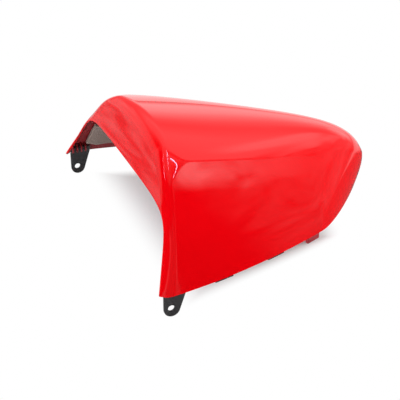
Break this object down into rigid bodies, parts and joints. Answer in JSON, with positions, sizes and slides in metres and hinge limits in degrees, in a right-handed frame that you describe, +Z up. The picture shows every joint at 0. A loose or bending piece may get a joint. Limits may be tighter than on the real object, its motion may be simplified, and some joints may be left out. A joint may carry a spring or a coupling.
{
  "type": "motorcycle tail fairing",
  "caption": "Rear seat cowl of a motorcycle: a thin red moulded hood with a crowned top, creased sides, steel fixing brackets and foam pads inside.",
  "frame": {"origin": "centre of the bounding box on the surface that the cowl stands on", "axes": "+X to the right of the motorcycle's tail seen from behind, across the cowl; +Y towards the tail tip; +Z up"},
  "size_m": [0.3016, 0.285, 0.129],
  "materials": {
    "red_paint": "gloss",
    "black_steel": "satin",
    "grey_foam": "matt",
    "black_rubber": "matt"
  },
  "bodies": {
    "root": {"cowl_shell": "red_paint", "bracket_left": "black_steel", "bracket_right": "black_steel", "pad_left": "grey_foam", "pad_right": "grey_foam", "strip_front_left": "black_rubber", "strip_front_right": "black_rubber", "strip_rear_left": "black_rubber", "strip_rear_right": "black_rubber"}
  },
  "joints": []
}
